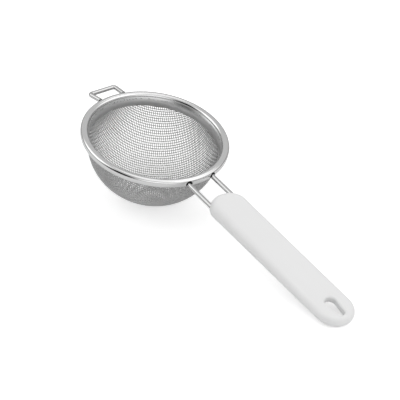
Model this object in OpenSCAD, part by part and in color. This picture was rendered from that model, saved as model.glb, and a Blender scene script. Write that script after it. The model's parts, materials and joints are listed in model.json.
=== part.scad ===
// Tea strainer: a woven wire bowl in a rolled steel rim, two handle wires, a moulded
// handle and a wire rest hook. It lies on a table as it does at rest: the bowl and the
// tail of the handle touch z = 0, the handle points along +X and Y is across it.

/* [Rim] */
// Outer diameter of the rolled rim
rim_d = 75; // [70:1:80]
// Width of the rolled bead across its section
bead_w = 3.8; // [3.4:0.1:4.6]
// Height of the rolled bead
bead_h = 4; // [3.8:0.1:5]
// Corner radius of the bead's section
bead_corner = 1.5; // [1.2:0.1:1.8]
// Thickness of the bead's sheet
sheet_t = 0.5; // [0.4:0.05:0.6]
// How far the inner band steps in from the bead
band_step = 1; // [0.95:0.05:1.2]
// Thickness of the inner band's sheet
band_t = 0.3; // [0.25:0.05:0.3]
// Depth of the inner band's lower edge below the middle of the bead
band_depth = 4.4; // [3.5:0.1:6]

/* [Bowl] */
// Depth of the bowl's bottom below the middle of the bead
bowl_depth = 33.8; // [28:0.2:36]
// Thickness of the woven cloth at its crossings
cloth_t = 0.65; // [0.5:0.05:0.65]

/* [Handle wires] */
// Diameter of the handle wires and of the rest hook's wire
wire_d = 2.4; // [2:0.1:2.6]
// Distance between the centres of the two handle wires
wire_spacing = 14.7; // [12:0.1:15]
// Height of the wires where they leave the rim, from the middle of the bead
wire_z = -0.7; // [-0.8:0.1:-0.3]
// Downward slope of the wires and the handle from the plane of the rim
wire_slope = 2; // [0:0.5:4]
// Diameter of each hole that a handle wire leaves through
exit_hole_d = 3.5; // [3:0.1:3.6]
// Length of wire that is moulded into the handle
wire_grip = 60; // [30:1:70]

/* [Rest hook] */
// Distance between the hook's arms at the rim
hook_w = 14.6; // [12:0.2:18]
// Reach of the hook's crossbar beyond the rim
hook_reach = 8; // [6:0.2:12]
// Outward splay of each arm
hook_splay = 4; // [0:0.5:8]
// Downward slope of the hook
hook_slope = 10; // [6:0.5:14]
// Height of the arms where they leave the rim, from the middle of the bead
hook_z = 0.4; // [0:0.1:0.4]

/* [Handle] */
// Gap between the rim and the front of the handle
handle_gap = 13; // [8:0.5:20]
// Length of the handle
handle_l = 92; // [80:1:110]
// Width of the handle
handle_w = 20.2; // [19.2:0.2:24]
// Thickness of the handle at its front
front_t = 8; // [6:0.1:9]
// Thickness of the handle at its tail
tail_t = 5; // [4.5:0.1:7]
// Length of the rounded front
front_round = 8; // [6:0.5:10]
// Length of the hanging hole
hole_l = 9.6; // [8:0.1:11]
// Width of the hanging hole at its wide end
hole_w = 7.4; // [6:0.1:8]
// Width of the hanging hole at its narrow end
hole_tip_w = 4.2; // [3:0.1:5.5]
// Wall between the hanging hole and the end of the tail
hole_wall = 4.4; // [3.5:0.1:6]

/* [Hidden] */
ROUND = 96;        // sides of a round part in the preview
BOWL_STEPS = 30;   // straight steps that follow the bowl's curve
SHELL_ROUND = 40;  // sides of the handle's rounded ends
TILT_STEPS = 30;   // halvings that find the angle of rest
SLIP = 0.05;       // play between pieces that are rolled or pushed together
THROUGH = 1;       // how far a cut runs past the surface that it opens
hook_root = 1;     // how far the hook's arms reach into the bead, to just short of the hoop

wire_r = wire_d / 2;
bead_r = (rim_d - bead_w) / 2;
bead_in_r = rim_d / 2 - bead_w;
band_r = bead_in_r - band_step;
hoop_r = bead_w / 2 - sheet_t - SLIP;
bowl_z = -band_depth + 1.2;
cloth_out_r = bead_in_r - SLIP / 2;
cloth_out_d = bowl_depth + bowl_z;

// The end of the handle's tail, in the frame of the rim
tail_reach = handle_gap + handle_l - tail_t / 2;
tail_x = rim_d / 2 + tail_reach * cos(wire_slope);
tail_z = wire_z - tail_reach * sin(wire_slope);
// The middle of the hook's crossbar, in the frame of the rim
bar_x = -rim_d / 2 - hook_reach * cos(hook_slope);
bar_z = hook_z - hook_reach * sin(hook_slope);

// How far the bowl and the handle's tail reach below the rim's centre at a tilt
function bowl_drop(a) =
    -bowl_z * cos(a) + norm([cloth_out_r * sin(a), cloth_out_d * cos(a)]);
function tail_drop(a) = tail_x * sin(a) - tail_z * cos(a) + tail_t / 2;
// The tilt at which both touch the table, found by halving the span low to high
function rest_angle(low, high, left) =
    let (mid = (low + high) / 2)
    left == 0 ? mid
    : bowl_drop(mid) > tail_drop(mid) ? rest_angle(mid, high, left - 1)
    : rest_angle(low, mid, left - 1);

rest_tilt = rest_angle(0, 45, TILT_STEPS);
max_x = tail_x * cos(rest_tilt) + tail_z * sin(rest_tilt) + tail_t / 2;
min_x = bar_x * cos(rest_tilt) + bar_z * sin(rest_tilt) - wire_r;

// Turns a piece from the frame of the rim to how it lies on the table
module rested() {
    translate([-(max_x + min_x) / 2, 0, bowl_drop(rest_tilt)])
        rotate([0, rest_tilt, 0])
            children();
}

// +X runs out of the rim along the handle wires
module along_wires() {
    translate([rim_d / 2, 0, wire_z])
        rotate([0, wire_slope, 0])
            children();
}

// +X runs out of the rim along the rest hook
module along_hook() {
    translate([-rim_d / 2, 0, hook_z])
        rotate([0, 0, 180])
            rotate([0, hook_slope, 0])
                children();
}

// A round bar of radius r along +X, from x0 to x1
module bar(r, x0, x1) {
    translate([x0, 0, 0])
        rotate([0, 90, 0])
            cylinder(h = x1 - x0, r = r, $fn = ROUND);
}

module rounded_bar_2d(w, h, r) {
    square([w - 2 * r, h], center = true);
    square([w, h - 2 * r], center = true);
    for (x = [-1, 1], y = [-1, 1])
        translate([x * (w / 2 - r), y * (h / 2 - r)])
            circle(r = r, $fn = 48);
}

module bead_section(inset) {
    translate([bead_r, 0])
        rounded_bar_2d(bead_w - 2 * inset, bead_h - 2 * inset, bead_corner - inset);
}

// The ring inside the bead that the handle wires are welded to
module hoop() {
    rotate_extrude($fn = ROUND)
        translate([bead_r, 0])
            circle(r = hoop_r, $fn = 48);
}

module hook_arm(side) {
    mirror([0, side < 0 ? 1 : 0, 0])
        translate([0, hook_w / 2, 0])
            rotate([0, 0, hook_splay])
                bar(wire_r, -hook_root, hook_reach / cos(hook_splay));
}

module rim_bead() {
    rested() color("silver")
        difference() {
            rotate_extrude($fn = ROUND)
                difference() {
                    bead_section(0);
                    bead_section(sheet_t);
                }
            for (side = [-1, 1]) {
                // the hole is wider than the wire, and the wire lies low in it
                along_wires()
                    translate([0, side * wire_spacing / 2, (exit_hole_d - wire_d) / 4])
                        bar(exit_hole_d / 2, -bead_w / 2, THROUGH);
                along_hook()
                    hook_arm(side);
            }
        }
}

module inner_band() {
    wall_h = band_depth - SLIP;
    rested() color("darkgray")
        rotate_extrude($fn = ROUND) {
            translate([band_r, -band_depth])
                square([band_t, wall_h]);
            // the rolled shoulder, and the ledge that covers the edge of the cloth
            translate([band_r + band_t, -SLIP])
                intersection() {
                    circle(r = band_t, $fn = 48);
                    translate([-band_t, 0])
                        square(band_t);
                }
            translate([band_r + band_t, -SLIP])
                square([bead_in_r - band_r - band_t, band_t]);
        }
}

// Half of the bowl's outline, from its mouth down to its lowest point
function bowl_curve(r, d) =
    [for (i = [0 : BOWL_STEPS]) let (t = 90 * i / BOWL_STEPS) [r * cos(t), bowl_z - d * sin(t)]];
function reversed(points) = [for (i = [len(points) - 1 : -1 : 0]) points[i]];

module mesh_bowl() {
    cloth_in_r = cloth_out_r - cloth_t;
    cloth_top = -2 * SLIP;
    rested() color("gainsboro")
        rotate_extrude($fn = ROUND)
            polygon(concat([[cloth_out_r, cloth_top]],
                           bowl_curve(cloth_out_r, cloth_out_d),
                           reversed(bowl_curve(cloth_in_r, cloth_out_d - cloth_t)),
                           [[cloth_in_r, cloth_top]]));
}

module hoop_wire() {
    rested() color("lightgray")
        hoop();
}

module handle_wire(side) {
    rested() color("lightgray")
        difference() {
            along_wires()
                translate([0, side * wire_spacing / 2, 0])
                    bar(wire_r, -bead_w / 2, handle_gap + wire_grip);
            hoop();
        }
}

module left_wire() {
    handle_wire(1);
}

module right_wire() {
    handle_wire(-1);
}

module rest_hook() {
    corner_y = hook_w / 2 + hook_reach * tan(hook_splay);
    rested() color("lightgray")
        along_hook() {
            for (side = [-1, 1]) {
                hook_arm(side);
                translate([hook_reach, side * corner_y, 0])
                    sphere(r = wire_r, $fn = ROUND);
            }
            translate([hook_reach, 0, 0])
                rotate([0, 0, 90])
                    bar(wire_r, -corner_y, corner_y);
        }
}

// A flat round end with a fully rounded edge, stretched along X
module rounded_end(t, stretch) {
    scale([stretch, 1, 1])
        rotate_extrude($fn = SHELL_ROUND)
            translate([(handle_w - t) / 2, 0])
                circle(d = t, $fn = 24);
}

module hanging_hole() {
    wide_r = hole_w / 2;
    tip_r = hole_tip_w / 2;
    tip_x = handle_gap + handle_l - hole_wall - tip_r;
    wide_x = handle_gap + handle_l - hole_wall - hole_l + wide_r;
    // the sides run along the tangents of both ends
    lean = asin((wide_r - tip_r) / (tip_x - wide_x));
    linear_extrude(height = 2 * tail_t, center = true) {
        translate([wide_x, 0])
            circle(r = wide_r, $fn = ROUND);
        translate([tip_x, 0])
            circle(r = tip_r, $fn = ROUND);
        polygon([[wide_x + wide_r * sin(lean), wide_r * cos(lean)],
                 [tip_x + tip_r * sin(lean), tip_r * cos(lean)],
                 [tip_x + tip_r * sin(lean), -tip_r * cos(lean)],
                 [wide_x + wide_r * sin(lean), -wide_r * cos(lean)]]);
    }
}

module handle() {
    rested() color("white")
        along_wires()
            difference() {
                hull() {
                    translate([handle_gap + front_round, 0, 0])
                        rounded_end(front_t, 2 * front_round / handle_w);
                    translate([handle_gap + handle_l - handle_w / 2, 0, 0])
                        rounded_end(tail_t, 1);
                }
                for (side = [-1, 1])
                    translate([0, side * wire_spacing / 2, 0])
                        bar(wire_r, 0, handle_gap + wire_grip);
                hanging_hole();
            }
}

rim_bead();
inner_band();
mesh_bowl();
hoop_wire();
left_wire();
right_wire();
rest_hook();
handle();
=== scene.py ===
"""A tea strainer: a bowl of woven wire in a rolled steel rim, with a moulded handle and a rest hook."""

import json
import math

import bpy
import numpy as np
from bpy.props import FloatProperty, FloatVectorProperty, IntProperty, PointerProperty
from mathutils import Matrix, Vector
from mathutils.geometry import tessellate_polygon


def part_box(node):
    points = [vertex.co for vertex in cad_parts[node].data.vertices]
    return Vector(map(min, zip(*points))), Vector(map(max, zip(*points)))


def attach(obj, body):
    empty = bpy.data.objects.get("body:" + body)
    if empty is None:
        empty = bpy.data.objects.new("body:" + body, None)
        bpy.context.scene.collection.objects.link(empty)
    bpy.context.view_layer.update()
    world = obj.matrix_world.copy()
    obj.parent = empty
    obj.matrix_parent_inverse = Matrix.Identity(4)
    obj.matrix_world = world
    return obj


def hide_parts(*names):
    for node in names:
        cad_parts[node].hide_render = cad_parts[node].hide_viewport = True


bl_info = {
    "name": "Tea strainer",
    "version": (1, 0, 0),
    "blender": (4, 5, 0),
    "location": "View3D > Sidebar > Strainer",
    "description": "Builds the visible pieces of a tea strainer around its packed frame",
    "category": "Object",
}

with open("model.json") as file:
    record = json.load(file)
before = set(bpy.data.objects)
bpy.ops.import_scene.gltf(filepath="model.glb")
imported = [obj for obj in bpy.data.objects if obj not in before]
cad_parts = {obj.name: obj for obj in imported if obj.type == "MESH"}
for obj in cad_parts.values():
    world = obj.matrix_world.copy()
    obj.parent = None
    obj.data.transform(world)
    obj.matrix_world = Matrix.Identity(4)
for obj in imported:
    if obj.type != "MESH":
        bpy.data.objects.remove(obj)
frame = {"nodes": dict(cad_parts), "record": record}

MM = 0.001
BODY = "root"
NODES = frame["nodes"]
MOUNTS = {mount["name"]: mount for mount in frame["record"]["mounts"]}
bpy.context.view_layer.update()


# ---------------------------------------------------------------------------
# Places and sizes that the frame gives
# ---------------------------------------------------------------------------


def facing(normal):
    """The turn about Y that brings +Z to a normal in the XZ plane."""
    return Matrix.Rotation(math.atan2(normal[0], normal[2]), 4, "Y")


def mount_place(name, sign=1):
    """A mount's place, with +Z along its axis, or against it where sign is -1."""
    mount = MOUNTS[name]
    return Matrix.Translation(mount["pos_m"]) @ facing([sign * part for part in mount["axis"]])


def extent(node, place):
    """Lowest and highest corner of a CAD node along the axes of a place."""
    inverse = place.inverted()
    points = np.array([inverse @ vertex.co for vertex in NODES[node].data.vertices])
    return Vector(points.min(axis=0)), Vector(points.max(axis=0))


# The rim: +Z is its axis, and the origin is the middle of the bead
rim_low, rim_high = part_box("rim_bead")
RIM = Matrix.Translation((rim_low + rim_high) / 2) @ facing(MOUNTS["rim_mouth"]["axis"])
rim_low, rim_high = extent("rim_bead", RIM)
BEAD_MID_R = (RIM.inverted() @ Vector(MOUNTS["cup_seat"]["pos_m"])).y
BEAD_W = 2 * (rim_high.y - BEAD_MID_R)
BEAD_H = rim_high.z - rim_low.z
FLARE_PROUD = 0.15 * MM   # how far the flared band reaches above the plain one
BAND_R = MOUNTS["rim_mouth"]["dims"]["r_mm"] * MM
BAND_LOW, BAND_HIGH = extent("inner_band", RIM)
CLOTH_LOW, CLOTH_HIGH = extent("mesh_bowl", RIM)

# The handle: +X runs to its tail, and the origin is the middle of the hanging hole
GRIP = mount_place("hang_hole")
GRIP_LOW, GRIP_HIGH = extent("handle", GRIP)
WIRE_LOW, WIRE_HIGH = extent("left_wire", GRIP)
WIRE_R = (WIRE_HIGH.y - WIRE_LOW.y) / 2
WIRE_Y = (WIRE_HIGH.y + WIRE_LOW.y) / 2

# The rest hook: -X runs out of the rim, and the wire's centre is a radius above the origin
HOOK = mount_place("hook_rest", -1)
HOOK_LOW, HOOK_HIGH = extent("rest_hook", HOOK)


# ---------------------------------------------------------------------------
# Settings
# ---------------------------------------------------------------------------


def length(name, description, millimetres):
    """A size that the user can change, shown in the scene's unit of length."""
    return FloatProperty(
        name=name, description=description, default=millimetres * MM, min=0.0,
        precision=5, subtype="DISTANCE", unit="LENGTH",
    )


def angle(name, description, degrees):
    """An angle that the user can change."""
    return FloatProperty(
        name=name, description=description, default=math.radians(degrees),
        subtype="ANGLE", unit="ROTATION",
    )


def share(name, description, default):
    """A number from 0 to 1."""
    return FloatProperty(
        name=name, description=description, default=default, min=0.0, max=1.0, subtype="FACTOR"
    )


def colour(name, description, default):
    """A colour without alpha."""
    return FloatVectorProperty(
        name=name, description=description, default=default, size=3, min=0.0, max=1.0,
        subtype="COLOR",
    )


def count(name, description, default, lowest=1):
    """A whole number."""
    return IntProperty(name=name, description=description, default=default, min=lowest)


class RimSettings(bpy.types.PropertyGroup):
    """Sizes of the rolled bead and of the band inside it"""

    sheet: length("Sheet", "Thickness of the bead's sheet", 0.5)
    corner: length("Corner", "Corner radius of the bead's section", 1.5)
    crown: length("Crown", "How far the middle of the bead's top stands proud", 0.12)
    flare: length("Flare", "Height of the band's upper part, which flares out to the bead", 3.0)
    band_sheet: length("Band sheet", "Thickness of the band's sheet", 0.3)
    hole_d: length("Exit hole", "Diameter of the hole that a handle wire leaves through", 3.5)
    segments: count("Segments", "Straight steps around the rim", 240, 12)


class ClothSettings(bpy.types.PropertyGroup):
    """Sizes of the woven wire cloth"""

    warp_pitch: length("Warp pitch", "Distance from one warp wire to the next", 1.34)
    weft_pitch: length("Weft pitch", "Distance from one weft wire to the next", 1.04)
    warp_d: length("Warp wire", "Diameter of the warp wires", 0.44)
    weft_d: length("Weft wire", "Diameter of the weft wires", 0.36)
    wave: length("Wave", "How far a wire's centre leaves the middle of the cloth", 0.16)
    straight: length("Straight wall", "Depth of the upright part under the bead's middle", 3.2)
    turn: angle("Turn", "Turn of the cloth about the rim's axis", -40)
    uneven: length("Unevenness", "How far a crossing strays from its place", 0.035)
    sides: count("Sides", "Sides of the wire's section", 6, 3)
    steps: count("Steps", "Straight steps from one crossing to the next", 2)
    seed: count("Seed", "Number that the unevenness starts from", 7, 0)


class WireSettings(bpy.types.PropertyGroup):
    """Sizes of the handle wires and of the rest hook"""

    splay: angle("Splay", "Outward angle of each arm of the hook", 4)
    bend: length("Bend", "Radius of the hook's bends, along the wire's centre", 1.3)
    sides: count("Sides", "Sides of the wire's section", 32, 8)
    bend_steps: count("Bend steps", "Straight steps in each bend", 10)


class HandleSettings(bpy.types.PropertyGroup):
    """Sizes of the moulded handle"""

    front_round: length("Front", "Length of the rounded front", 8)
    tail_t: length("Tail thickness", "Thickness of the handle around the hanging hole", 5)
    hole_l: length("Hole length", "Length of the hanging hole", 11.2)
    hole_w: length("Hole width", "Width of the hole's wide end, towards the rim", 5.8)
    hole_tip_w: length("Hole tip", "Width of the hole's narrow end, towards the tail", 3.8)
    hole_edge: length("Hole edge", "Radius of the hole's upper edge", 1.2)
    hole_wall: length("Hole wall", "Height of the hole's wall, with its upper edge", 3.1)
    relief: length("Relief", "How far the hole widens below its wall", 2.6)
    relief_shift: length("Relief shift", "How far the widened part lies towards the rim", 1.6)
    seam: length("Parting line", "Height of the mould's parting line", 0.05)
    socket_gap: length("Socket gap", "Gap around each wire where it enters the handle", 0.12)


class FinishSettings(bpy.types.PropertyGroup):
    """Colours and polish of the finishes"""

    polished: colour("Polished sheet", "Colour of the rim's polished sheet", (0.73, 0.73, 0.73))
    satin: colour("Satin sheet", "Colour of the band's satin sheet", (0.70, 0.70, 0.70))
    drawn: colour("Drawn wire", "Colour of the bright drawn wire", (0.60, 0.60, 0.60))
    woven: colour("Woven wire", "Colour of the cloth's wire", (0.53, 0.53, 0.53))
    # painted shade: near-black colour for the walls of the wire holes and the hoop inside the bead
    scale: colour("Hole shade", "Colour of the steel inside the bead", (0.03, 0.03, 0.03))
    plastic: colour("Plastic", "Colour of the moulded handle", (0.88, 0.88, 0.88))
    polish: share("Polish", "Roughness of the polished sheet", 0.10)
    gloss: share("Gloss", "Roughness of the plastic", 0.42)


class StageSettings(bpy.types.PropertyGroup):
    """The floor, the lights and the camera"""

    floor: colour("Floor", "Colour of the floor", (0.94, 0.94, 0.94))
    glow: share("Glow", "Light that comes through the floor", 0.42)
    surround: share("Surround", "Level of the pale surround", 0.66)
    key: FloatProperty(
        name="Key light", description="Power of the light overhead", default=2.5, min=0.0,
        unit="POWER",
    )
    aim: FloatVectorProperty(
        name="Aim", description="The point that the camera looks at",
        default=(-0.00442, -0.00539, 0.020), size=3, subtype="XYZ", unit="LENGTH",
    )
    distance: length("Distance", "From the camera to the aim", 624.6)
    azimuth: angle("Azimuth", "Direction of the camera, from -Y towards +X", 48.45)
    elevation: angle("Elevation", "Height of the camera above the horizon", 30.84)
    roll: angle("Roll", "How far the camera is turned about its own axis", 3.07)
    lens: FloatProperty(
        name="Lens", description="Focal length for a sensor 36 mm wide", default=117.0,
        min=1.0, subtype="DISTANCE_CAMERA",
    )


SETTINGS = {
    "strainer_rim": RimSettings,
    "strainer_cloth": ClothSettings,
    "strainer_wire": WireSettings,
    "strainer_handle": HandleSettings,
    "strainer_finish": FinishSettings,
    "strainer_stage": StageSettings,
}


# ---------------------------------------------------------------------------
# Node trees
# ---------------------------------------------------------------------------

NODE_GAP = 190
WHITE = (1.0, 1.0, 1.0, 1.0)


def give(tree, node, inputs):
    """Sets a node's inputs. A value is a socket to link or a plain default."""
    for key, value in inputs.items():
        if isinstance(value, bpy.types.NodeSocket):
            tree.links.new(value, node.inputs[key])
        else:
            node.inputs[key].default_value = value


def add(tree, kind, inputs=None, **settings):
    """Adds a node with its settings and its inputs."""
    node = tree.nodes.new(kind)
    node.location = (NODE_GAP * len(tree.nodes), 0)
    for key, value in settings.items():
        setattr(node, key, value)
    give(tree, node, inputs or {})
    return node


def new_group(name, kind, inputs, outputs):
    """A node group with named sockets, and its two end nodes."""
    tree = bpy.data.node_groups.new(name, kind)
    for direction, sockets in (("INPUT", inputs), ("OUTPUT", outputs)):
        for socket, socket_type in sockets.items():
            tree.interface.new_socket(
                name=socket, in_out=direction, socket_type="NodeSocket" + socket_type
            )
    return tree, tree.nodes.new("NodeGroupInput").outputs, tree.nodes.new("NodeGroupOutput").inputs


MADE_TREES = {}


def shared_tree(make):
    """The node tree that a function makes, built once."""
    if make.__name__ not in MADE_TREES:
        MADE_TREES[make.__name__] = make()
    return MADE_TREES[make.__name__]


def run_tree(piece, make, **values):
    """Runs a Geometry Nodes tree on a piece and keeps the result as its plain mesh."""
    tree = shared_tree(make)
    modifier = piece.modifiers.new(tree.name, "NODES")
    modifier.node_group = tree
    sockets = [item for item in tree.interface.items_tree if item.in_out == "INPUT"]
    identifiers = {item.name.lower().replace(" ", "_"): item.identifier for item in sockets}
    for name, value in values.items():
        modifier[identifiers[name]] = value
    keep_evaluated(piece)


def keep_evaluated(piece):
    """Turns a piece and its modifiers into a plain mesh."""
    depsgraph = bpy.context.evaluated_depsgraph_get()
    shaped = bpy.data.meshes.new_from_object(
        piece.evaluated_get(depsgraph), preserve_all_data_layers=True, depsgraph=depsgraph
    )
    piece.modifiers.clear()
    rough = piece.data
    piece.data = shaped
    bpy.data.meshes.remove(rough)
    shaped.name = piece.name


def math_node(tree, operation, first, second=0.0):
    """The result of a Math node."""
    return add(tree, "ShaderNodeMath", {0: first, 1: second}, operation=operation).outputs[0]


def vector_node(tree, operation, inputs, output="Vector"):
    """The result of a Vector Math node."""
    return add(tree, "ShaderNodeVectorMath", inputs, operation=operation).outputs[output]


def noise(tree, place, scale, detail, **inputs):
    """The value of a Noise Texture node."""
    inputs.update({"Vector": place, "Scale": scale, "Detail": detail})
    return add(tree, "ShaderNodeTexNoise", inputs).outputs["Fac"]


def captured(tree, geometry, data_type, value):
    """Geometry that carries a value along, and the value's socket."""
    node = add(tree, "GeometryNodeCaptureAttribute", {"Geometry": geometry})
    node.capture_items.new(data_type, "Value")
    tree.links.new(value, node.inputs["Value"])
    return node.outputs["Geometry"], node.outputs["Value"]


def swept_wire(tree, rail, radius, sides, material):
    """Sweeps a round section along a curve, and stores where each point is on the wire:
    X and Y across it, and Z along it."""
    run = add(tree, "GeometryNodeSplineParameter").outputs["Length"]
    rail, along = captured(tree, rail, "FLOAT", run)
    circle = add(tree, "GeometryNodeCurvePrimitiveCircle", {"Resolution": sides, "Radius": radius})
    place = add(tree, "GeometryNodeInputPosition").outputs[0]
    section, across = captured(tree, circle.outputs["Curve"], "VECTOR", place)
    tube = add(
        tree, "GeometryNodeCurveToMesh",
        {"Curve": rail, "Profile Curve": section, "Fill Caps": True},
    )
    smooth = add(tree, "GeometryNodeSetShadeSmooth", {"Geometry": tube.outputs["Mesh"]})
    parts = add(tree, "ShaderNodeSeparateXYZ", {0: across}).outputs
    joined = add(tree, "ShaderNodeCombineXYZ", {"X": parts["X"], "Y": parts["Y"], "Z": along})
    stored = add(
        tree, "GeometryNodeStoreNamedAttribute",
        {"Geometry": smooth.outputs[0], "Name": "wire_place", "Value": joined.outputs[0]},
        data_type="FLOAT_VECTOR", domain="POINT",
    )
    return finished(tree, stored.outputs[0], material)


def finished(tree, geometry, material):
    """The end of every tree: real geometry with its material."""
    real = add(tree, "GeometryNodeRealizeInstances", {"Geometry": geometry})
    painted = add(
        tree, "GeometryNodeSetMaterial", {"Geometry": real.outputs[0], "Material": material}
    )
    return painted.outputs[0]


def bent_wire_tree():
    """A round wire along a line of points, with a bend at each."""
    inputs = {
        "Path": "Geometry", "Wire radius": "Float", "Bend radius": "Float",
        "Bend steps": "Int", "Sides": "Int", "Material": "Material",
    }
    tree, given, result = new_group("Bent wire", "GeometryNodeTree", inputs, {"Wire": "Geometry"})
    rail = add(tree, "GeometryNodeMeshToCurve", {"Mesh": given["Path"]})
    bent = add(
        tree, "GeometryNodeFilletCurve",
        {"Curve": rail.outputs[0], "Radius": given["Bend radius"], "Count": given["Bend steps"]},
        mode="POLY",
    )
    wire = swept_wire(
        tree, bent.outputs[0], given["Wire radius"], given["Sides"], given["Material"]
    )
    tree.links.new(wire, result["Wire"])
    return tree


def woven_tree():
    """One set of a cloth's wires, waving over and under the wires that cross them."""
    inputs = {
        "Net": "Geometry", "Wire radius": "Float", "Wave": "Float", "Unevenness": "Float",
        "Seed": "Int", "Steps": "Int", "Sides": "Int", "Material": "Material",
    }
    tree, given, result = new_group("Woven wires", "GeometryNodeTree", inputs, {"Wires": "Geometry"})
    normal = add(
        tree, "GeometryNodeInputNamedAttribute", {"Name": "cloth_normal"}, data_type="FLOAT_VECTOR"
    )
    over = add(tree, "GeometryNodeInputNamedAttribute", {"Name": "over"}, data_type="FLOAT")
    rise = math_node(tree, "MULTIPLY", over.outputs[0], given["Wave"])
    wave = vector_node(tree, "SCALE", {0: normal.outputs[0], "Scale": rise})
    stray = add(
        tree, "FunctionNodeRandomValue", {"Min": (-1, -1, -1), "Max": (1, 1, 1), "Seed": given["Seed"]},
        data_type="FLOAT_VECTOR",
    )
    strayed = vector_node(tree, "SCALE", {0: stray.outputs[0], "Scale": given["Unevenness"]})
    offset = vector_node(tree, "ADD", {0: wave, 1: strayed})
    waved = add(tree, "GeometryNodeSetPosition", {"Geometry": given["Net"], "Offset": offset})
    rails = add(tree, "GeometryNodeMeshToCurve", {"Mesh": waved.outputs[0]})
    curved = add(
        tree, "GeometryNodeCurveSplineType", {"Curve": rails.outputs[0]}, spline_type="CATMULL_ROM"
    )
    stepped = add(
        tree, "GeometryNodeSetSplineResolution",
        {"Geometry": curved.outputs[0], "Resolution": given["Steps"]},
    )
    wires = swept_wire(
        tree, stepped.outputs[0], given["Wire radius"], given["Sides"], given["Material"]
    )
    tree.links.new(wires, result["Wires"])
    return tree


SPUN_INPUTS = {
    "Section": "Geometry", "Radius": "Float", "Segments": "Int", "Material": "Material",
}


def spun_section(tree, given):
    """A section swept round a circle about the rim's axis."""
    section = add(tree, "GeometryNodeMeshToCurve", {"Mesh": given["Section"]})
    circle = add(
        tree, "GeometryNodeCurvePrimitiveCircle",
        {"Resolution": given["Segments"], "Radius": given["Radius"]},
    )
    spun = add(
        tree, "GeometryNodeCurveToMesh",
        {"Curve": circle.outputs["Curve"], "Profile Curve": section.outputs[0]},
    )
    return spun.outputs[0]


def spun_tree():
    """A sheet spun round the rim's axis."""
    tree, given, result = new_group(
        "Spun sheet", "GeometryNodeTree", SPUN_INPUTS, {"Sheet": "Geometry"}
    )
    smooth = add(tree, "GeometryNodeSetShadeSmooth", {"Geometry": spun_section(tree, given)})
    sheet = finished(tree, smooth.outputs[0], given["Material"])
    tree.links.new(sheet, result["Sheet"])
    return tree


def drills(tree, given):
    """The two round drills that cut the handle wires' holes."""
    drill = add(
        tree, "GeometryNodeMeshCylinder",
        {"Vertices": HOLE_SIDES, "Radius": given["Hole radius"], "Depth": given["Hole depth"]},
    )
    both = add(tree, "GeometryNodeJoinGeometry")
    for side in (-1, 1):
        aside = math_node(tree, "MULTIPLY", given["Hole spacing"], side / 2)
        step = add(tree, "ShaderNodeCombineXYZ", {"Y": aside}).outputs[0]
        place = vector_node(tree, "ADD", {0: given["Hole place"], 1: step})
        moved = add(
            tree, "GeometryNodeTransform",
            {
                "Geometry": drill.outputs["Mesh"], "Translation": place,
                "Rotation": given["Hole turn"],
            },
        )
        tree.links.new(moved.outputs[0], both.inputs[0])
    return both.outputs[0]


def drilled_tree():
    """A spun sheet with a hole for each handle wire. The sheet and the drills take their materials
    before the cut, so that each hole's wall keeps its own."""
    inputs = {
        **SPUN_INPUTS, "Hole radius": "Float", "Hole spacing": "Float", "Hole place": "Vector",
        "Hole turn": "Rotation", "Hole depth": "Float", "Hole material": "Material",
    }
    tree, given, result = new_group("Drilled sheet", "GeometryNodeTree", inputs, {"Sheet": "Geometry"})
    sheet = finished(tree, spun_section(tree, given), given["Material"])
    cutters = finished(tree, drills(tree, given), given["Hole material"])
    drilled = add(
        tree, "GeometryNodeMeshBoolean", {"Mesh 1": sheet, "Mesh 2": cutters},
        operation="DIFFERENCE", solver="EXACT",
    )
    smooth = add(tree, "GeometryNodeSetShadeSmooth", {"Geometry": drilled.outputs["Mesh"]})
    tree.links.new(smooth.outputs[0], result["Sheet"])
    return tree


# ---------------------------------------------------------------------------
# Finishes
# ---------------------------------------------------------------------------


BANDS_PER_LINE = 0.12   # broad bands of shade for each fine line


def fine_lines_group():
    """Lines left by drawing, spinning or brushing. They run along the vector's Z."""
    inputs = {"Vector": "Vector", "Lines per metre": "Float", "Length": "Float"}
    outputs = {"Lines": "Float", "Shade": "Float"}
    tree, given, result = new_group("Fine lines", "ShaderNodeTree", inputs, outputs)
    parts = add(tree, "ShaderNodeSeparateXYZ", {0: given["Vector"]}).outputs
    run = math_node(tree, "DIVIDE", parts["Z"], given["Length"])
    stretched = add(tree, "ShaderNodeCombineXYZ", {"X": parts["X"], "Y": parts["Y"], "Z": run})
    place = stretched.outputs[0]
    lines = given["Lines per metre"]
    bands = math_node(tree, "MULTIPLY", lines, BANDS_PER_LINE)
    tree.links.new(noise(tree, place, lines, detail=3.0, Roughness=0.6), result["Lines"])
    tree.links.new(noise(tree, place, bands, detail=1.0), result["Shade"])
    return tree


def smudges_group():
    """Marks of use: the soft smudges that hands leave."""
    inputs = {"Vector": "Vector", "Smudges per metre": "Float"}
    tree, given, result = new_group("Smudges", "ShaderNodeTree", inputs, {"Smudge": "Float"})
    cloud = noise(tree, given["Vector"], given["Smudges per metre"], detail=3.0, Distortion=0.6)
    smudge = add(
        tree, "ShaderNodeMapRange", {"Value": cloud, "From Min": 0.42, "From Max": 0.68},
        interpolation_type="SMOOTHSTEP",
    )
    tree.links.new(smudge.outputs[0], result["Smudge"])
    return tree


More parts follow.
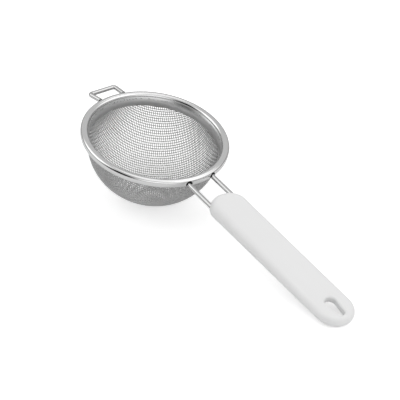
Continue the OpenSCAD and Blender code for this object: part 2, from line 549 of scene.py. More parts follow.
def round_the_rim_group():
    """Object coordinates unrolled round the rim's axis: X out from it, Y along it, Z around it."""
    tree, given, result = new_group(
        "Round the rim", "ShaderNodeTree", {"Vector": "Vector"}, {"Vector": "Vector"}
    )
    parts = add(tree, "ShaderNodeSeparateXYZ", {0: given["Vector"]}).outputs
    flat = add(tree, "ShaderNodeCombineXYZ", {"X": parts["X"], "Y": parts["Y"]})
    out = vector_node(tree, "LENGTH", {0: flat.outputs[0]}, "Value")
    turn = math_node(tree, "ARCTAN2", parts["Y"], parts["X"])
    run = math_node(tree, "MULTIPLY", turn, BEAD_MID_R)
    unrolled = add(
        tree, "ShaderNodeCombineXYZ", {"X": out, "Y": parts["Z"], "Z": run}
    )
    tree.links.new(unrolled.outputs[0], result["Vector"])
    return tree


def placed(tree, make, inputs):
    """The outputs of a shared shader group, placed in a material."""
    return add(tree, "ShaderNodeGroup", inputs, node_tree=shared_tree(make)).outputs


def new_material(name, metallic):
    """A material with its own Principled BSDF."""
    material = bpy.data.materials.new(name)
    material.use_nodes = True
    shader = material.node_tree.nodes["Principled BSDF"]
    shader.inputs["Metallic"].default_value = metallic
    return material, material.node_tree, shader


def ranged(tree, value, low, high):
    """A factor from 0 to 1 brought to a range."""
    return add(
        tree, "ShaderNodeMapRange", {"Value": value, "To Min": low, "To Max": high}
    ).outputs[0]


def shaded_colour(tree, plain, factor, low, high):
    """A colour times low where the factor is 0, and times high where it is 1."""
    shade = ranged(tree, factor, low, high)
    return vector_node(tree, "SCALE", {0: plain, "Scale": shade})


def mixed(tree, factor, first, second):
    """A number between two others."""
    return add(
        tree, "ShaderNodeMix", {"Factor": factor, "A": first, "B": second}, data_type="FLOAT"
    ).outputs[0]


def smudges(tree, place, per_metre):
    """The shared group's soft smudges, from 0 to 1."""
    inputs = {"Vector": place, "Smudges per metre": per_metre}
    return placed(tree, smudges_group, inputs)["Smudge"]


def bump(tree, height, distance, strength=1.0, normal=None):
    """A normal from a height. The distance is in metres."""
    inputs = {"Height": height, "Distance": distance, "Strength": strength}
    if normal is not None:
        inputs["Normal"] = normal
    return add(tree, "ShaderNodeBump", inputs).outputs[0]


def rim_coordinates(tree):
    """Object coordinates turned so that Z is the rim's axis."""
    place = add(tree, "ShaderNodeTexCoord").outputs["Object"]
    turned = add(
        tree, "ShaderNodeMapping",
        {"Vector": place, "Location": RIM.translation, "Rotation": RIM.to_euler()},
        vector_type="TEXTURE",
    )
    return turned.outputs[0]


LINE_STRETCH = 60.0         # length of the sheet's lines over their width
WIRE_LINE_STRETCH = 90.0    # and of the wire's
SMUDGE_SHARE = 0.35         # how much of the sheet's roughness the smudges set
WIRE_SMUDGE_SHARE = 0.4     # and of the wire's


def sheet_finish(name, base, roughness, depth, lines_per_metre):
    """Steel sheet with the fine lines that spinning or brushing left round it."""
    material, tree, shader = new_material(name, 1.0)
    place = rim_coordinates(tree)
    unrolled = placed(tree, round_the_rim_group, {"Vector": place})["Vector"]
    lines = placed(
        tree, fine_lines_group,
        {"Vector": unrolled, "Lines per metre": lines_per_metre, "Length": LINE_STRETCH},
    )
    smudge = smudges(tree, place, per_metre=60.0)
    dull = mixed(tree, SMUDGE_SHARE, lines["Lines"], smudge)
    give(tree, shader, {
        "Roughness": ranged(tree, dull, roughness * 0.7, roughness * 1.4),
        "Base Color": shaded_colour(tree, base, lines["Shade"], 0.93, 1.04),
        "Normal": bump(tree, lines["Lines"], depth),
    })
    return material


def wire_finish(name, base, roughness, depth, crossing_wear_and_shade=0.0):
    """Bright drawn wire: fine lines along it. A woven one is also lighter at the crossings and darker
    between them, partly real polish and grime, partly painted sheen and painted shade.
    """
    material, tree, shader = new_material(name, 1.0)
    place = add(tree, "ShaderNodeAttribute", attribute_name="wire_place").outputs["Vector"]
    lines = placed(
        tree, fine_lines_group,
        {"Vector": place, "Lines per metre": 9000.0, "Length": WIRE_LINE_STRETCH},
    )
    smudge = smudges(tree, place, per_metre=90.0)
    shade = lines["Shade"]
    # lighter at the crossings and darker between them: partly polish and grime, partly painted sheen
    # and painted shade
    if crossing_wear_and_shade:
        over = add(tree, "ShaderNodeAttribute", attribute_name="over").outputs["Fac"]
        shade = mixed(tree, crossing_wear_and_shade, shade, math_node(tree, "ABSOLUTE", over))
    dull = mixed(tree, WIRE_SMUDGE_SHARE, lines["Lines"], smudge)
    give(tree, shader, {
        "Roughness": ranged(tree, dull, roughness * 0.75, roughness * 1.35),
        "Base Color": shaded_colour(tree, base, shade, 0.86, 1.05),
        "Normal": bump(tree, lines["Lines"], depth),
    })
    return material


def hole_shade_finish(name, base):
    """Near-black, dull, specked steel: painted shade, so that the walls of the wire holes and the hoop
    seen through them read as dark gaps.
    """
    material, tree, shader = new_material(name, 0.6)
    place = add(tree, "ShaderNodeTexCoord").outputs["Object"]
    smudge = smudges(tree, place, per_metre=250.0)
    cells = add(tree, "ShaderNodeTexVoronoi", {"Vector": place, "Scale": 900.0, "Randomness": 1.0})
    speck = add(
        tree, "ShaderNodeMapRange",
        {"Value": cells.outputs["Distance"], "From Min": 0.10, "From Max": 0.03},
        interpolation_type="SMOOTHSTEP",
    )
    give(tree, shader, {
        "Roughness": ranged(tree, smudge, 0.55, 0.85),
        "Base Color": shaded_colour(tree, base, smudge, 0.6, 1.3),
        "Normal": bump(tree, speck.outputs[0], 0.03 * MM),
    })
    return material


def plastic_finish(name, base, roughness):
    """White moulded plastic with the fine grain of a spark-eroded mould."""
    material, tree, shader = new_material(name, 0.0)
    shader.inputs["IOR"].default_value = 1.49
    place = add(tree, "ShaderNodeTexCoord").outputs["Object"]
    smudge = smudges(tree, place, per_metre=45.0)
    grain = noise(tree, place, scale=4200.0, detail=2.0, Roughness=0.55)
    sink = noise(tree, place, scale=70.0, detail=1.0)
    grained = bump(tree, grain, 0.012 * MM)
    give(tree, shader, {
        "Roughness": ranged(tree, smudge, roughness * 0.9, roughness * 1.12),
        "Base Color": shaded_colour(tree, base, sink, 0.985, 1.01),
        "Normal": bump(tree, sink, 0.25 * MM, 0.5, grained),
    })
    return material


def floor_finish(name, base, glow):
    """A plain pale floor that is lit from below, as a light table is."""
    material, tree, shader = new_material(name, 0.0)
    shader.inputs["Specular IOR Level"].default_value = 0.1
    place = add(tree, "ShaderNodeTexCoord").outputs["Object"]
    cloud = noise(tree, place, scale=3.0, detail=1.0)
    straight = add(tree, "ShaderNodeLightPath").outputs["Is Camera Ray"]
    give(tree, shader, {
        "Base Color": shaded_colour(tree, base, cloud, 0.995, 1.0),
        "Roughness": 0.8,
        "Emission Color": WHITE,
        "Emission Strength": math_node(tree, "MULTIPLY", straight, glow),
    })
    return material


def shared_material(name):
    """The material of that name, built once from the finish settings."""
    finish = bpy.context.scene.strainer_finish
    return bpy.data.materials.get(name) or MATERIALS[name](name, finish)


MATERIALS = {
    "Polished sheet": lambda name, finish: sheet_finish(
        name, finish.polished, finish.polish, depth=0.0012 * MM, lines_per_metre=1500.0
    ),
    "Satin sheet": lambda name, finish: sheet_finish(
        name, finish.satin, roughness=0.34, depth=0.003 * MM, lines_per_metre=2500.0
    ),
    "Drawn wire": lambda name, finish: wire_finish(
        name, finish.drawn, roughness=0.13, depth=0.0015 * MM
    ),
    # the woven wire is lighter at the crossings and darker between them: partly polish and grime,
    # partly painted sheen and shade
    "Woven wire": lambda name, finish: wire_finish(
        name, finish.woven, roughness=0.28, depth=0.001 * MM, crossing_wear_and_shade=0.5
    ),
    # near-black painted shade for the walls of the wire holes and the hoop
    "Hole shade": lambda name, finish: hole_shade_finish(name, finish.scale),
    "White plastic": lambda name, finish: plastic_finish(name, finish.plastic, finish.gloss),
}


# ---------------------------------------------------------------------------
# Pieces
# ---------------------------------------------------------------------------


def new_piece(name, points, edges=(), faces=()):
    """An object in the scene from plain lists."""
    mesh = bpy.data.meshes.new(name)
    mesh.from_pydata([tuple(point) for point in points], list(edges), list(faces))
    piece = bpy.data.objects.new(name, mesh)
    bpy.context.scene.collection.objects.link(piece)
    return piece


def path_piece(name, *paths, closed=False):
    """An object that holds lines of points, each with its edges in order."""
    points, edges = [], []
    for path in paths:
        first = len(points)
        points += path
        edges += [(first + i, first + i + 1) for i in range(len(path) - 1)]
        if closed:
            edges.append((len(points) - 1, first))
    return new_piece(name, points, edges)


def settle(piece, place, slot, *nodes):
    """Brings a finished piece to its place in its mesh, and ties it to the frame."""
    piece.data.transform(place)
    piece.data.update()
    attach(piece, BODY)
    if nodes:
        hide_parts(*nodes)
    return piece


def arc(centre, radius, start, end, steps):
    """Points along an arc in the plane of the first two coordinates, angles in degrees."""
    turns = [math.radians(start + (end - start) * i / steps) for i in range(steps + 1)]
    return [
        (centre[0] + radius * math.cos(turn), centre[1] + radius * math.sin(turn)) for turn in turns
    ]


def section_points(outline):
    """A section's (out, up) points in the plane that the spun tree sweeps."""
    return [(out, -up, 0.0) for out, up in outline]


def bead_outline(width, height, corner, crown=0.0, steps=8):
    """The bead's section about its middle, with a crowned top, running anticlockwise."""
    x, y = width / 2 - corner, height / 2 - corner
    points = arc((x, -y), corner, -90, 0, steps) + arc((x, y - crown), corner, 0, 90, steps)[:-1]
    for i in range(steps):
        out = x - 2 * x * i / steps
        points.append((out, y + corner - crown * (out / x) ** 2))
    points += arc((-x, y - crown), corner, 90, 180, steps)
    return points + arc((-x, -y), corner, 180, 270, steps)


HOLE_SIDES = 48          # sides of a handle wire's hole
DRILL_BACK = 1.2 * MM    # how far each drill starts behind the exit place, inside the bead
HEM_STEPS = 6            # steps round the band's lower edge
FLARE_STEPS = 10         # steps up the band's flare


def build_rim(settings):
    """The rolled bead: an outer and an inner skin, with a hole for each handle wire."""
    corner, sheet = settings.corner, settings.sheet
    outer = bead_outline(BEAD_W, BEAD_H, corner, settings.crown)
    inner = bead_outline(BEAD_W - 2 * sheet, BEAD_H - 2 * sheet, corner - sheet)
    piece = path_piece(
        "rolled_rim", section_points(outer), section_points(inner[::-1]), closed=True
    )
    exit_place = RIM.inverted() @ GRIP @ Vector((WIRE_LOW.x + BEAD_W / 2, 0, 0))
    slope = (RIM.inverted() @ GRIP).to_euler()
    slope.rotate_axis("Y", math.radians(90))
    depth = 2 * BEAD_W
    spare = (settings.hole_d / 2 - WIRE_R) / 2
    centre = exit_place + Vector((depth / 2 - DRILL_BACK, 0, spare))
    # the walls of the wire holes take the near-black painted-shade finish
    run_tree(
        piece, drilled_tree, radius=BEAD_MID_R, segments=settings.segments,
        hole_radius=settings.hole_d / 2, hole_spacing=2 * WIRE_Y, hole_place=centre,
        hole_turn=slope, hole_depth=depth, material=shared_material("Polished sheet"),
        hole_material=shared_material("Hole shade"),
    )
    piece.data.set_sharp_from_angle(angle=math.radians(40))
    return settle(piece, RIM, "polished_steel", "rim_bead")


def build_band(settings):
    """The plain band inside the rim: a folded edge below, and a flare that meets the bead above."""
    sheet = settings.band_sheet
    hem = sheet / 2
    run, rise = BEAD_MID_R - BEAD_W / 2 - BAND_R, settings.flare
    turn = 2 * math.atan2(run, rise)
    radius = rise / math.sin(turn)
    centre = (BAND_R + radius, BAND_HIGH.z + FLARE_PROUD - rise)
    turned = math.degrees(turn)
    outline = arc((BAND_R + hem, BAND_LOW.z + hem), hem, 0, -180, HEM_STEPS)
    outline += arc(centre, radius, 180, 180 - turned, FLARE_STEPS)
    outline += arc(centre, radius - sheet, 180 - turned, 180, FLARE_STEPS)
    section = [(out - BEAD_MID_R, up) for out, up in outline[::-1]]
    piece = path_piece("spun_band", section_points(section), closed=True)
    run_tree(
        piece, spun_tree, radius=BEAD_MID_R, segments=settings.segments,
        material=shared_material("Satin sheet"),
    )
    piece.data.set_sharp_from_angle(angle=math.radians(50))
    return settle(piece, RIM, "satin_steel", "inner_band")


# -- the woven bowl --


NET_ROUNDS = 25         # times that a crossing is pulled back to its cell's sides
MERIDIAN_STEPS = 2000   # points that measure the way up the bowl
NET_SPARE = 1.6         # a wire's run up the bowl over the bowl's depth, less the radius
TINY = 1e-9             # keeps a length from being divided by nothing


class BowlSurface:
    """The middle of the cloth: an upright wall over half an ellipsoid."""

    def __init__(self, settings):
        thickness = max(settings.warp_d, settings.weft_d) + 2 * settings.wave
        self.radius = CLOTH_HIGH.y - thickness / 2
        self.mouth = -settings.straight
        self.depth = self.mouth - CLOTH_LOW.z - thickness / 2
        self.top = CLOTH_HIGH.z

    def on(self, points):
        """Points moved onto the surface."""
        below = np.minimum(points[:, 2] - self.mouth, 0) / self.depth
        span = np.hypot(points[:, 0], points[:, 1]) / self.radius
        size = np.maximum(np.hypot(span, below), TINY)
        moved = points.copy()
        moved[:, :2] /= size[:, None]
        moved[:, 2] = np.where(below < 0, self.mouth + below * self.depth / size, points[:, 2])
        return moved

    def normals(self, points):
        """Directions out of the bowl."""
        out = np.zeros_like(points)
        out[:, :2] = points[:, :2] / self.radius**2
        out[:, 2] = np.minimum(points[:, 2] - self.mouth, 0) / self.depth**2
        return out / np.linalg.norm(out, axis=1)[:, None]

    def meridian(self, pitch, steps):
        """Distances out and heights, a pitch apart, from the bottom of the bowl upwards."""
        turns = np.linspace(0, math.pi / 2, MERIDIAN_STEPS)
        out = self.radius * np.sin(turns)
        up = self.mouth - self.depth * np.cos(turns)
        run = np.concatenate([[0], np.cumsum(np.hypot(np.diff(out), np.diff(up)))])
        wanted = pitch * np.arange(steps)
        beyond = np.maximum(wanted - run[-1], 0)
        return np.interp(wanted, run, out), np.interp(wanted, run, up) + beyond


def quarter_net(bowl, warp_pitch, weft_pitch):
    """Crossings of a cloth pressed into the bowl, over one quarter of it. The two wires through
    the bottom follow the surface straight up, and the sides of every cell keep their lengths."""
    reach = NET_SPARE * bowl.depth + bowl.radius
    steps = math.ceil(reach / min(warp_pitch, weft_pitch)) + 1
    net = np.zeros((steps, steps, 3))
    net[:, 0, 0], net[:, 0, 2] = bowl.meridian(warp_pitch, steps)
    net[0, :, 1], net[0, :, 2] = bowl.meridian(weft_pitch, steps)
    for total in range(2, 2 * steps - 1):
        i = np.arange(max(1, total - steps + 1), min(steps, total))
        j = total - i
        left, right = net[i - 1, j], net[i, j - 1]
        point = left + right - net[i - 1, j - 1]
        for _ in range(NET_ROUNDS):
            point = bowl.on(point)
            for other, pitch in ((left, warp_pitch), (right, weft_pitch)):
                away = point - other
                size = np.maximum(np.linalg.norm(away, axis=1), TINY)
                point = point - away * (0.5 - 0.5 * pitch / size)[:, None]
        net[i, j] = bowl.on(point)
    return net


def whole_net(bowl, warp_pitch, weft_pitch):
    """The crossings over the whole bowl, by their row and column from the middle."""
    quarter = quarter_net(bowl, warp_pitch, weft_pitch)
    steps = len(quarter)
    index = np.arange(1 - steps, steps)
    rows, columns = np.meshgrid(index, index, indexing="ij")
    net = quarter[abs(rows), abs(columns)].copy()
    net[..., 0] *= np.where(rows < 0, -1, 1)
    net[..., 1] *= np.where(columns < 0, -1, 1)
    parity = np.where((rows + columns) % 2 == 0, 1.0, -1.0)
    return net, parity


def build_wires(name, bowl, net, over, wire_d, settings):
    """One set of the cloth's wires, each along a row of the net as far as the rim."""
    points, sides, edges = [], [], []
    for row, side in zip(net, over):
        inside = row[:, 2] < bowl.top
        middle = len(row) // 2
        if not inside[middle]:
            continue
        first = middle - np.argmin(inside[middle::-1]) + 1
        last = middle + np.argmin(inside[middle:])
        start = len(points)
        points += list(row[first:last])
        sides += list(side[first:last])
        edges += [(k, k + 1) for k in range(start, len(points) - 1)]
    piece = new_piece(name, points, edges)
    out = piece.data.attributes.new("cloth_normal", "FLOAT_VECTOR", "POINT")
    out.data.foreach_set("vector", bowl.normals(np.array(points)).ravel())
    waves = piece.data.attributes.new("over", "FLOAT", "POINT")
    waves.data.foreach_set("value", np.array(sides, float))
    run_tree(
        piece, woven_tree, wire_radius=wire_d / 2, wave=settings.wave,
        unevenness=settings.uneven, seed=settings.seed, steps=settings.steps,
        sides=settings.sides, material=shared_material("Woven wire"),
    )
    turned = RIM @ Matrix.Rotation(settings.turn, 4, "Z")
    return settle(piece, turned, "woven_wire", "mesh_bowl")


def build_cloth(settings):
    """The woven bowl: warp wires one way and weft wires the other."""
    bowl = BowlSurface(settings)
    net, parity = whole_net(bowl, settings.warp_pitch, settings.weft_pitch)
    build_wires("warp_wires", bowl, net, parity, settings.warp_d, settings)
    across = net.transpose(1, 0, 2)
    build_wires("weft_wires", bowl, across, -parity.T, settings.weft_d, settings)


# -- the handle wires and the rest hook --


WIRE_INSET = 0.9 * MM   # how far a handle wire stops short of its CAD wire's end at the hoop


def build_bent_wire(name, points, place, node, settings):
    """A round wire along some points, with a bend at each point between its ends."""
    piece = path_piece(name, points)
    run_tree(
        piece, bent_wire_tree, wire_radius=WIRE_R, bend_radius=settings.bend,
        bend_steps=settings.bend_steps, sides=settings.sides,
        material=shared_material("Drawn wire"),
    )
    piece.data.set_sharp_from_angle(angle=math.radians(60))
    return settle(piece, place, "wire_steel", node)


def build_handle_wires(settings):
    """The two straight wires from inside the bead to inside the handle."""
    start = WIRE_LOW.x + WIRE_INSET
    for side, node in ((1, "left_wire"), (-1, "right_wire")):
        ends = [(start, side * WIRE_Y, 0.0), (WIRE_HIGH.x, side * WIRE_Y, 0.0)]
        build_bent_wire("handle_" + node, ends, GRIP, node, settings)


def build_hook(settings):
    """The wire loop that rests on the far lip of a cup."""
    bar_x = HOOK_LOW.x + WIRE_R
    corner_y = HOOK_HIGH.y - WIRE_R
    root_x = HOOK_HIGH.x - WIRE_R / 2
    root_y = corner_y - (root_x - bar_x) * math.tan(settings.splay)
    points = [(root_x, root_y), (bar_x, corner_y), (bar_x, -corner_y), (root_x, -root_y)]
    raised = [(x, y, WIRE_R) for x, y in points]
    build_bent_wire("bent_rest_hook", raised, HOOK, "rest_hook", settings)


# -- the handle --

ROUND_STEPS = 36   # steps round the handle's front and round its tail
SIDE_STEPS = 20    # steps along each side
EDGE_STEPS = 9     # steps from the widest line to the flat top
HOLE_STEPS = 28    # steps round each end of the hanging hole
SOCKET_SIDES = 48  # sides of each wire's socket
SOCKET_OUT = 2 * MM   # how far a socket's cutter reaches in front of the handle
SOCKET_IN = 5 * MM    # and into it
HOLE_MARGIN = 2 * MM  # flat handle between its taper and the widened hole
SEAM_LIFT = math.radians(1.6)   # half the width of the parting line, as a turn round the edge


def handle_stations(settings):
    """Places around the handle's outline: the centre's x, the stretch along X, the turn about
    that centre in degrees, and the thickness."""
    half_w = GRIP_HIGH.y
    front_t = GRIP_HIGH.z - GRIP_LOW.z
    front_x = GRIP_LOW.x + settings.front_round
    tail_x = GRIP_HIGH.x - half_w
    level_x = -settings.hole_l / 2 - settings.relief - HOLE_MARGIN
    stretch = settings.front_round / half_w

    def side(turn, reverse):
        marks = [i / SIDE_STEPS for i in range(1, SIDE_STEPS)]
        marks = marks[::-1] if reverse else marks
        found = [
            (
                front_x + (level_x - front_x) * mark, 1.0, turn,
                front_t + (settings.tail_t - front_t) * mark,
            )
            for mark in marks
        ]
        level = [(level_x, 1.0, turn, settings.tail_t)]
        return level + found if reverse else found + level

    turns = [180 * i / ROUND_STEPS for i in range(ROUND_STEPS + 1)]
    front = [(front_x, stretch, 90 + turn, front_t) for turn in turns]
    tail = [(tail_x, 1.0, -90 + turn, settings.tail_t) for turn in turns]
    return front, side(270, False), tail, side(90, True)


def handle_point(station, lift, proud=0.0):
    """A point of the handle's skin: lift is 0 on its widest line and 90 degrees at the flat top."""
    centre_x, stretch, turn, thickness = station
    half_t = thickness / 2
    reach = GRIP_HIGH.y - half_t * (1 - math.cos(lift)) + proud
    turn = math.radians(turn)
    return (
        centre_x + stretch * reach * math.cos(turn), reach * math.sin(turn), half_t * math.sin(lift)
    )


def hole_outline(settings, grown):
    """The egg-shaped outline of the hanging hole, grown by some distance."""
    wide_r, tip_r = settings.hole_w / 2, settings.hole_tip_w / 2
    wide_x, tip_x = wide_r - settings.hole_l / 2, settings.hole_l / 2 - tip_r
    lean = math.degrees(math.asin((wide_r - tip_r) / (tip_x - wide_x)))
    wide = arc((wide_x, 0), wide_r + grown, 90 - lean, 270 + lean, HOLE_STEPS)
    tip = arc((tip_x, 0), tip_r + grown, -90 + lean, 90 - lean, HOLE_STEPS)
    return wide + tip


def ring_faces(first, second, size):
    """Quads between two closed loops of points, by the index of each loop's first point."""
    return [
        (first + i, first + (i + 1) % size, second + (i + 1) % size, second + i)
        for i in range(size)
    ]


def handle_mesh(settings):
    """Points and faces of the handle: rounded edges, flat top and bottom, and the hole's wall."""
    front, near, tail, far = handle_stations(settings)
    stations = front + near + tail + far
    size = len(stations)
    quarter = [math.radians(90 * i / EDGE_STEPS) for i in range(1, EDGE_STEPS + 1)]
    lifts = [(-lift, 0.0) for lift in quarter[::-1]]
    lifts += [(-SEAM_LIFT, 0.0), (0.0, settings.seam), (SEAM_LIFT, 0.0)]
    lifts += [(lift, 0.0) for lift in quarter]
    points, faces = [], []
    for lift, proud in lifts:
        points += [handle_point(station, lift, proud) for station in stations]
    for ring in range(len(lifts) - 1):
        faces += ring_faces(ring * size, (ring + 1) * size, size)
    bottom, top = 0, (len(lifts) - 1) * size

    half_t, edge = settings.tail_t / 2, settings.hole_edge
    hole_size = len(hole_outline(settings, 0.0))
    hole_rings = [
        (edge * (1 - math.cos(turn)), half_t - edge * (1 - math.sin(turn)), 0.0)
        for turn in quarter[::-1]
    ]
    hole_rings += [(0.0, half_t - edge, 0.0), (0.0, half_t - settings.hole_wall, 0.0)]
    hole_rings += [(settings.relief, -half_t, -settings.relief_shift)]
    hole_start = len(points)
    for grown, height, shift in hole_rings:
        points += [(x + shift, y, height) for x, y in hole_outline(settings, grown)]
    for ring in range(len(hole_rings) - 1):
        first = hole_start + ring * hole_size
        faces += ring_faces(first, first + hole_size, hole_size)
    hole_end = hole_start + (len(hole_rings) - 1) * hole_size

    # the flat faces: strips as far as the hole, then a sheet with the hole in it
    last_near = len(front) + len(near) - 1
    near_side = list(range(len(front) // 2, len(front) + len(near)))
    far_side = [(len(front) - 1 - i) % size for i in near_side]
    around = list(range(last_near, last_near + len(tail) + 2))
    for loop, hole, up in ((top, hole_start, True), (bottom, hole_end, False)):
        flat = []
        for k in range(len(near_side) - 1):
            strip = [near_side[k], near_side[k + 1], far_side[k + 1], far_side[k]]
            flat.append([loop + index for index in dict.fromkeys(strip)])
        outer = [loop + index for index in around]
        inner = [hole + i for i in range(hole_size)]
        sheet = outer + inner
        outlines = [[Vector(points[i]) for i in outer], [Vector(points[i]) for i in inner]]
        flat += [[sheet[i] for i in triangle] for triangle in tessellate_polygon(outlines)]
        for face in flat:
            faces.append(facing_face(points, face, up))
    return points, faces


def facing_face(points, face, up):
    """A flat face's indices in the order that makes it face up, or down."""
    corners = [Vector(points[index]) for index in face[:3]]
    normal = (corners[1] - corners[0]).cross(corners[2] - corners[0])
    return tuple(face) if (normal.z > 0) == up else tuple(face[::-1])


def build_handle(settings):
    """The moulded handle, with a fine gap round each wire where it goes in."""
    points, faces = handle_mesh(settings)
    piece = new_piece("moulded_handle", points, faces=faces)
    piece.data.shade_smooth()
    piece.data.materials.append(shared_material("White plastic"))
    cutters = []
    for side in (-1, 1):
        ends = [(GRIP_LOW.x + reach, side * WIRE_Y, 0.0) for reach in (-SOCKET_OUT, SOCKET_IN)]
        cutter = path_piece("wire_socket", ends)
        run_tree(
            cutter, bent_wire_tree, wire_radius=WIRE_R + settings.socket_gap, bend_radius=0.0,
            bend_steps=1, sides=SOCKET_SIDES, material=shared_material("White plastic"),
        )
        cut = piece.modifiers.new("Wire socket", "BOOLEAN")
        cut.operation = "DIFFERENCE"
        cut.solver = "EXACT"
        cut.object = cutter
        cutters.append(cutter)
    keep_evaluated(piece)
    for cutter in cutters:
        bpy.data.objects.remove(cutter)
    piece.data.set_sharp_from_angle(angle=math.radians(35))
    return settle(piece, GRIP, "white_plastic", "handle")


def dress_hoop():
    """The hoop inside the bead keeps its CAD shape and takes the near-black painted-shade finish, so
    that it reads as dark shade through the wire holes.
    """
    hoop = NODES["hoop_wire"]
    hoop.data.materials.clear()
    hoop.data.materials.append(shared_material("Hole shade"))


# -- the stage --


FLOOR_HALF = 3.0             # metres from the middle of the floor to its sides
KEY_PLACE = (0.2, 0.5, 1.5)  # the light overhead, in metres
KEY_SIDE = 1.2               # and its width and length
HORIZON_LEVEL = 0.25         # level of the surround at the horizon, over its full level
HORIZON_TOP = 0.45           # sine of the elevation where it has its full level


def build_floor(settings):
    """A wide plain floor."""
    sides = ((-1, -1), (1, -1), (1, 1), (-1, 1))
    corners = [(FLOOR_HALF * x, FLOOR_HALF * y, 0) for x, y in sides]
    floor = new_piece("floor", corners, faces=[(0, 1, 2, 3)])
    floor.data.materials.append(floor_finish("Pale floor", settings.floor, settings.glow))


def build_key_light(power):
    """A soft square light overhead that faces the origin."""
    lamp = bpy.data.lights.new("key", "AREA")
    lamp.shape = "SQUARE"
    lamp.size = KEY_SIDE
    lamp.energy = power
    light = bpy.data.objects.new("key", lamp)
    light.location = KEY_PLACE
    light.rotation_euler = (-Vector(KEY_PLACE)).to_track_quat("-Z", "Y").to_euler()
    bpy.context.scene.collection.objects.link(light)


SKY = [
    # azimuth, elevation, half width and softness in degrees, and change of level
    ("back softbox", 215.0, 46.0, 45.0, 25.0, 0.02),
    ("left softbox", -40.0, 42.0, 24.0, 10.0, 1.0),
    ("right softbox", 136.0, 42.0, 24.0, 10.0, 0.6),
    ("front softbox", 68.0, 14.0, 28.0, 12.0, 0.80),
    ("dark camera side", 4.0, 30.0, 24.0, 8.0, -0.66),
]


def build_world(strength):
    """A pale surround with a darker horizon, softboxes and a dark camera side."""
    world = bpy.data.worlds.new("Studio")
    world.use_nodes = True
    tree = world.node_tree
    way = add(tree, "ShaderNodeTexCoord").outputs["Generated"]
    level = strength
    for _, azimuth, elevation, half, soft, change in SKY:
        az, el = math.radians(azimuth), math.radians(elevation)
        towards = (math.sin(az) * math.cos(el), -math.cos(az) * math.cos(el), math.sin(el))
        near = vector_node(tree, "DOT_PRODUCT", {0: way, 1: towards}, "Value")
        patch = add(
            tree, "ShaderNodeMapRange",
            {
                "Value": near, "From Min": math.cos(math.radians(half + soft)),
                "From Max": math.cos(math.radians(half - soft)), "To Min": 0.0, "To Max": change,
            },
            interpolation_type="SMOOTHSTEP",
        )
        level = math_node(tree, "ADD", patch.outputs[0], level)
    height = add(tree, "ShaderNodeSeparateXYZ", {0: way}).outputs["Z"]
    horizon = add(
        tree, "ShaderNodeMapRange",
        {
            "Value": height, "From Min": 0.0, "From Max": HORIZON_TOP, "To Min": HORIZON_LEVEL,
            "To Max": 1.0,
        },
        interpolation_type="SMOOTHSTEP",
    )
    level = math_node(tree, "MULTIPLY", level, horizon.outputs[0])
    give(tree, tree.nodes["Background"], {"Color": WHITE, "Strength": level})
    bpy.context.scene.world = world


def build_camera(settings):
    """The camera, from its direction, distance and roll about the aim."""
    azimuth, elevation, roll = settings.azimuth, settings.elevation, settings.roll
    level = math.cos(elevation)
    back = Vector((math.sin(azimuth) * level, -math.cos(azimuth) * level, math.sin(elevation)))
    right = Vector((math.cos(azimuth), math.sin(azimuth), 0.0))
    up = back.cross(right)
    turned = math.cos(roll) * right + math.sin(roll) * up
    axes = Matrix((turned, back.cross(turned), back)).transposed()
    lens = bpy.data.cameras.new("Camera")
    lens.lens = settings.lens
    camera = bpy.data.objects.new("Camera", lens)
    place = Vector(settings.aim) + settings.distance * back
    camera.matrix_world = Matrix.Translation(place) @ axes.to_4x4()
    bpy.context.scene.collection.objects.link(camera)
    bpy.context.scene.camera = camera


# ---------------------------------------------------------------------------
# Operators, panel and registration
# ---------------------------------------------------------------------------


class STRAINER_OT_rim(bpy.types.Operator):
    """Build the rolled rim and the band inside it"""

    bl_idname = "strainer.rim"
    bl_label = "Rim and band"

    def execute(self, context):
        build_rim(context.scene.strainer_rim)
        build_band(context.scene.strainer_rim)
        return {"FINISHED"}


class STRAINER_OT_cloth(bpy.types.Operator):
    """Weave the bowl's warp and weft wires"""

    bl_idname = "strainer.cloth"
    bl_label = "Woven bowl"

    def execute(self, context):
        build_cloth(context.scene.strainer_cloth)
        return {"FINISHED"}


class STRAINER_OT_handle_wires(bpy.types.Operator):
    """Build the two wires between the rim and the handle"""

    bl_idname = "strainer.handle_wires"
    bl_label = "Handle wires"

    def execute(self, context):
        build_handle_wires(context.scene.strainer_wire)
        return {"FINISHED"}


class STRAINER_OT_hook(bpy.types.Operator):
    """Bend the rest hook"""

    bl_idname = "strainer.hook"
    bl_label = "Rest hook"

    def execute(self, context):
        build_hook(context.scene.strainer_wire)
        return {"FINISHED"}


class STRAINER_OT_handle(bpy.types.Operator):
    """Mould the handle"""

    bl_idname = "strainer.handle"
    bl_label = "Handle"

    def execute(self, context):
        build_handle(context.scene.strainer_handle)
        return {"FINISHED"}


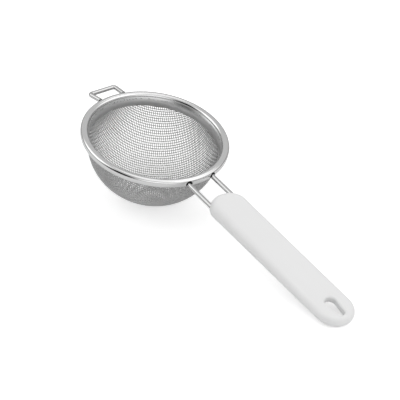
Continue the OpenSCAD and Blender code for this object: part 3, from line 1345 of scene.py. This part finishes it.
class STRAINER_OT_hoop(bpy.types.Operator):
    """Give the hidden hoop its finish"""

    bl_idname = "strainer.hoop"
    bl_label = "Hoop"

    def execute(self, context):
        dress_hoop()
        return {"FINISHED"}


class STRAINER_OT_stage(bpy.types.Operator):
    """Set up the floor, the lights and the camera"""

    bl_idname = "strainer.stage"
    bl_label = "Stage"

    def execute(self, context):
        settings = context.scene.strainer_stage
        context.scene.view_settings.view_transform = "Standard"
        build_floor(settings)
        build_world(settings.surround)
        build_key_light(settings.key)
        build_camera(settings)
        return {"FINISHED"}


OPERATORS = [
    STRAINER_OT_rim, STRAINER_OT_cloth, STRAINER_OT_handle_wires, STRAINER_OT_hook,
    STRAINER_OT_handle, STRAINER_OT_hoop, STRAINER_OT_stage,
]


class STRAINER_PT_pieces(bpy.types.Panel):
    """The strainer's pieces and their settings"""

    bl_idname = "STRAINER_PT_pieces"
    bl_label = "Tea strainer"
    bl_space_type = "VIEW_3D"
    bl_region_type = "UI"
    bl_category = "Strainer"

    def draw(self, context):
        for operator in OPERATORS:
            self.layout.operator(operator.bl_idname)
        for name, group in SETTINGS.items():
            box = self.layout.box()
            box.label(text=group.__doc__)
            for setting in group.__annotations__:
                box.prop(getattr(context.scene, name), setting)


def register():
    """Registers the settings, the operators and the panel."""
    for name, group in SETTINGS.items():
        bpy.utils.register_class(group)
        setattr(bpy.types.Scene, name, PointerProperty(type=group))
    for kind in [*OPERATORS, STRAINER_PT_pieces]:
        bpy.utils.register_class(kind)


def unregister():
    """Takes back what register did."""
    for kind in [STRAINER_PT_pieces, *OPERATORS[::-1]]:
        bpy.utils.unregister_class(kind)
    for name, group in SETTINGS.items():
        delattr(bpy.types.Scene, name)
        bpy.utils.unregister_class(group)


def main():
    """Builds every piece in order."""
    register()
    bpy.ops.strainer.stage()
    bpy.ops.strainer.rim()
    bpy.ops.strainer.cloth()
    bpy.ops.strainer.handle_wires()
    bpy.ops.strainer.hook()
    bpy.ops.strainer.handle()
    bpy.ops.strainer.hoop()


if __name__ == "__main__":
    main()
